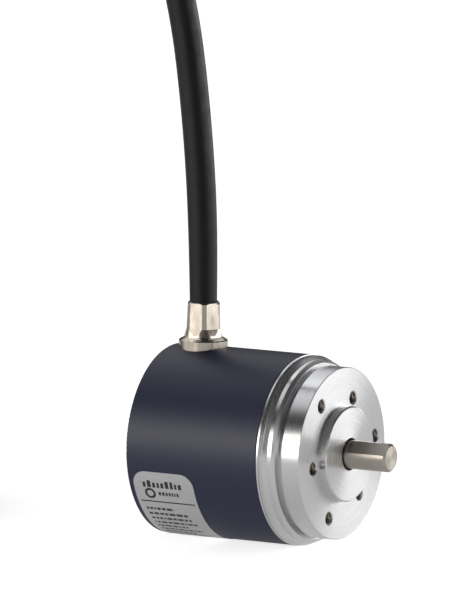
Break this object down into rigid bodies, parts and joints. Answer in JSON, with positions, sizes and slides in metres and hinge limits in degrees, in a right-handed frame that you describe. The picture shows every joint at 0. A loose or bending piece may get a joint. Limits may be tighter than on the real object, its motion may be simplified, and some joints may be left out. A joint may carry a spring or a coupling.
{
  "type": "rotary encoder",
  "caption": "Cylindrical incremental rotary encoder with a solid D-shaft, a clamping-collar flange with tapped holes, a painted cover and a radial cable.",
  "frame": {"origin": "centre of the mounting face (front of the clamping collar) on the shaft axis", "axes": "+X out along the shaft, +Z the way the cable gland points, body lying on its side"},
  "size_m": [0.1938, 0.0626, 0.1594],
  "materials": {
    "flange_aluminium": "bright turned, clear anodised",
    "cover_paint": "fine-textured semi-matt blue-violet powder coat",
    "shaft_steel": "ground stainless steel",
    "nickel_plate": "nickel-plated brass",
    "cable_jacket": "black PVC jacket, satin",
    "label_foil": "silver-grey printed foil",
    "bearing_steel": "polished bearing steel",
    "spring_steel": "blued spring steel",
    "screw_zinc": "zinc-plated steel",
    "standoff_brass": "machined brass",
    "seal_rubber": "black nitrile rubber",
    "hub_aluminium": "turned aluminium",
    "disc_glass": "glass with a chrome track",
    "lens_plastic": "clear moulded acrylic",
    "moulding_black": "glass-filled black nylon",
    "connector_natural": "natural nylon",
    "board_green": "green solder mask on epoxy glass",
    "chip_epoxy": "black moulded package",
    "passive_ceramic": "ceramic and tantalum parts",
    "flex_amber": "amber polyimide strip",
    "lead_insulation": "coloured PVC core insulation",
    "strap_hook_loop": "black hook-and-loop tape",
    "cage_polyamide": "natural polyamide"
  },
  "bodies": {
    "stator": {"flange": "flange_aluminium", "cover": "cover_paint", "cover_screws": "screw_zinc", "cover_o_ring": "seal_rubber", "label": "label_foil", "shaft_seal": "seal_rubber", "bearing_shields": "screw_zinc", "outer_spacer": "hub_aluminium", "preload_spring": "spring_steel", "retaining_ring": "spring_steel", "optics_carrier": "moulding_black", "optics_screws": "screw_zinc", "led_emitter": "lens_plastic", "collimator_lens": "lens_plastic", "led_flex": "flex_amber", "mask_plate": "bearing_steel", "photodetector": "chip_epoxy", "sensor_board": "board_green", "sensor_chips": "chip_epoxy", "sensor_passives": "passive_ceramic", "driver_board": "board_green", "driver_chips": "chip_epoxy", "driver_passives": "passive_ceramic", "pin_header": "moulding_black", "front_standoffs": "standoff_brass", "middle_standoffs": "standoff_brass", "rear_standoffs": "standoff_brass", "gland_ferrule": "nickel_plate", "gland_seal": "seal_rubber", "gland_washer": "seal_rubber", "gland_nut": "nickel_plate", "lead_socket": "connector_natural", "lead_plug": "connector_natural", "inner_leads": "lead_insulation", "cable": "cable_jacket", "cable_hank": "cable_jacket", "cable_tail": "cable_jacket", "hank_ties": "strap_hook_loop", "end_sleeve": "moulding_black", "end_cores": "lead_insulation", "front_bearing_outer_ring": "bearing_steel", "rear_bearing_outer_ring": "bearing_steel"},
    "rotor": {"shaft": "shaft_steel", "shaft_circlip": "spring_steel", "inner_spacer": "hub_aluminium", "front_bearing_inner_ring": "bearing_steel", "rear_bearing_inner_ring": "bearing_steel", "disc_hub": "hub_aluminium", "code_disc": "disc_glass", "disc_clamp_ring": "hub_aluminium", "disc_clamp_screws": "screw_zinc", "hub_set_screws": "spring_steel"},
    "front_ball_set": {"front_bearing_balls": "bearing_steel", "front_bearing_cage": "cage_polyamide"},
    "rear_ball_set": {"rear_bearing_balls": "bearing_steel", "rear_bearing_cage": "cage_polyamide"}
  },
  "joints": [
    {"name": "shaft_spin", "type": "hinge", "parent": "stator", "child": "rotor", "pos_m": [0, 0, 0], "axis": [1, 0, 0], "continuous": true},
    {"name": "front_ball_set_spin", "type": "hinge", "parent": "stator", "child": "front_ball_set", "pos_m": [-0.0057, 0, 0], "axis": [1, 0, 0], "continuous": true},
    {"name": "rear_ball_set_spin", "type": "hinge", "parent": "stator", "child": "rear_ball_set", "pos_m": [-0.0137, 0, 0], "axis": [1, 0, 0], "continuous": true}
  ],
  "couplings": [
    {"joint": "front_ball_set_spin", "follows": "shaft_spin", "ratio": 0.3958},
    {"joint": "rear_ball_set_spin", "follows": "shaft_spin", "ratio": 0.3958}
  ]
}
